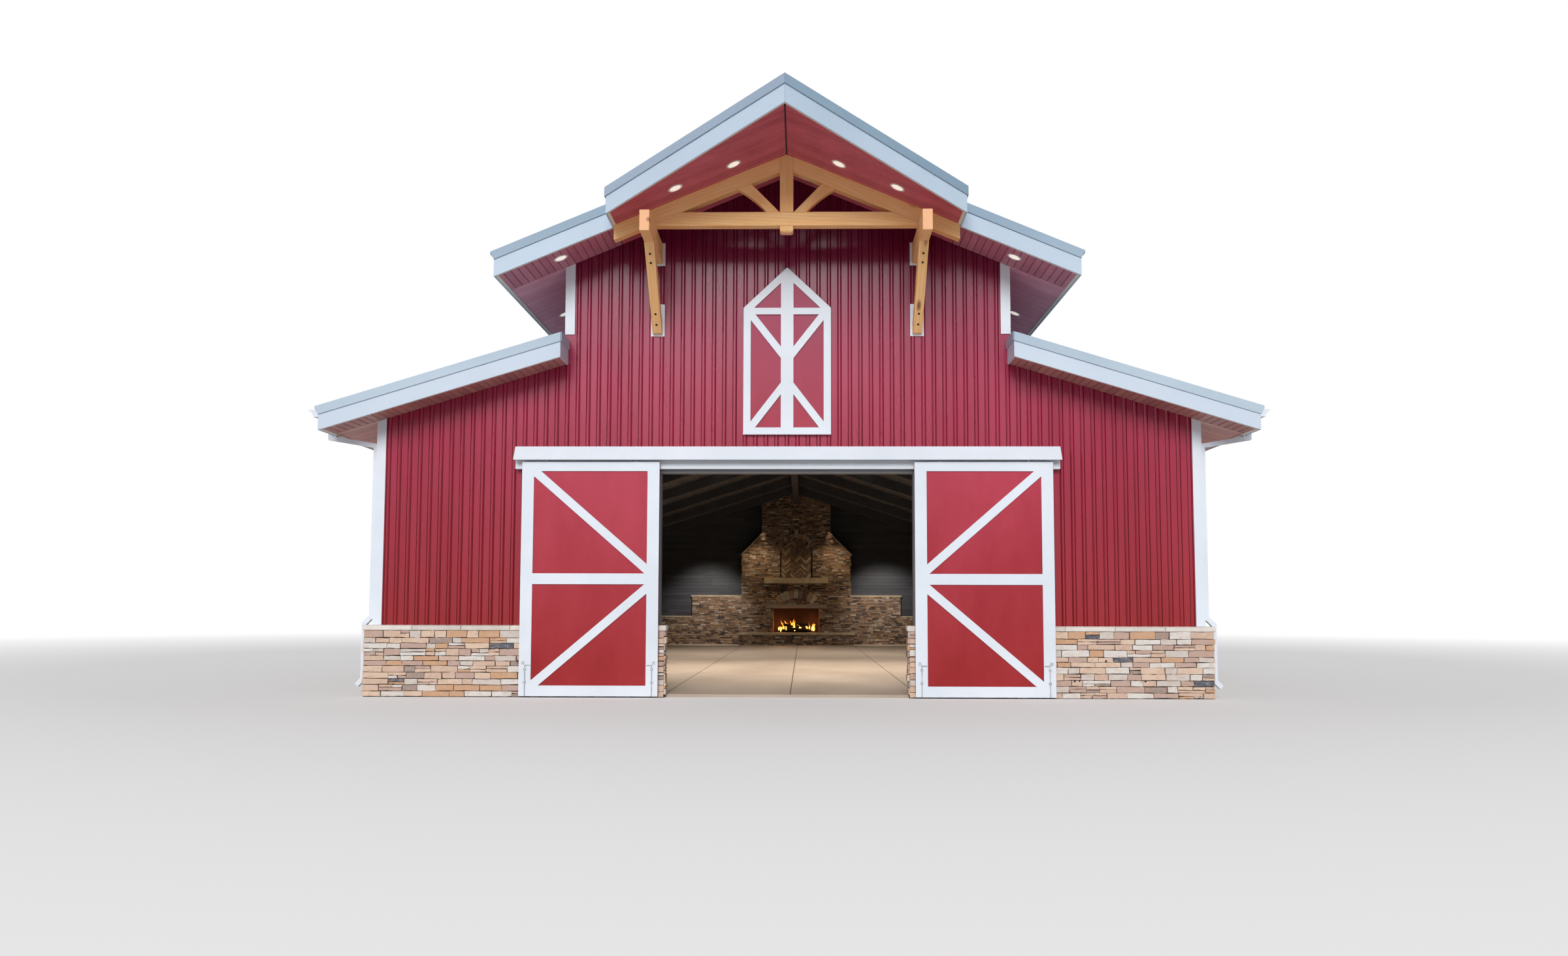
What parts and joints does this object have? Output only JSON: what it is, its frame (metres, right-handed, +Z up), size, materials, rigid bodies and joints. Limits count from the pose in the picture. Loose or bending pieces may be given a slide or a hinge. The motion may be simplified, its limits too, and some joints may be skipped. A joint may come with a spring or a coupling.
{
  "type": "barn-style pavilion",
  "caption": "Barn-style hall with raised middle roof, pointed canopy on a timber truss, stone base, sliding barn doors and a fireplace at the far end.",
  "frame": {"origin": "middle of the plan, on the ground under the floor slab", "axes": "-Y out of the front doorway, +Y along the ridge to the fireplace, +Z up"},
  "size_m": [16.53, 33.7133, 10.81],
  "materials": {
    "red_siding": "satin painted ribbed steel",
    "red_panel": "satin painted flat sheet",
    "red_boards": "stained grooved boards",
    "white_trim": "satin painted trim",
    "roof_metal": "satin painted roofing steel",
    "honey_timber": "oiled fir",
    "ledge_stone": "split ledge stone",
    "pale_stone": "sawn pale stone",
    "concrete_floor": "sealed concrete",
    "dark_boards": "dark stained boards",
    "burnt_logs": "charred bark",
    "lamp_white": "white trim and lens",
    "galvanised": "galvanised steel"
  },
  "bodies": {
    "building": {"floor_slab": "concrete_floor", "front_wall_right": "red_siding", "front_wall_left": "red_siding", "front_wall_over_door": "red_siding", "front_gable": "red_siding", "back_wall": "red_siding", "back_gable": "red_siding", "right_wall": "red_siding", "left_wall": "red_siding", "upper_side_walls": "red_siding", "wall_linings": "dark_boards", "ceiling_panels": "dark_boards", "ceiling_beams": "dark_boards", "stone_base": "ledge_stone", "stone_sills": "pale_stone", "corner_trims": "white_trim", "lower_roof_right": "roof_metal", "lower_roof_left": "roof_metal", "upper_roof_right": "roof_metal", "upper_roof_left": "roof_metal", "ridge_cap": "roof_metal", "soffits": "red_boards", "upper_fascias": "white_trim", "lower_fascias": "white_trim", "upper_edge_trims": "roof_metal", "lower_edge_trims": "roof_metal", "gutters": "white_trim", "downspouts": "white_trim", "soffit_lights": "lamp_white", "truss_top_chords": "honey_timber", "truss_bottom_chord": "honey_timber", "truss_king_post": "honey_timber", "truss_struts": "honey_timber", "outriggers": "honey_timber", "knee_braces": "honey_timber", "wall_pads": "white_trim", "loft_door_panel": "red_panel", "loft_door_trim": "white_trim", "door_header": "white_trim", "door_linings": "white_trim", "door_track": "galvanised", "track_cover": "white_trim", "fireplace_body": "ledge_stone", "pale_caps": "pale_stone", "wing_stones": "ledge_stone", "fire_logs": "burnt_logs", "chimney": "ledge_stone"},
    "left_door": {"left_door_panel": "red_panel", "left_door_frame": "white_trim", "left_door_hardware": "galvanised"},
    "right_door": {"right_door_panel": "red_panel", "right_door_frame": "white_trim", "right_door_hardware": "galvanised"}
  },
  "joints": [
    {"name": "left_door_slide", "type": "slide", "parent": "building", "child": "left_door", "axis": [1, 0, 0], "range_m": [0, 2.225]},
    {"name": "right_door_slide", "type": "slide", "parent": "building", "child": "right_door", "axis": [-1, 0, 0], "range_m": [0, 2.225]}
  ]
}
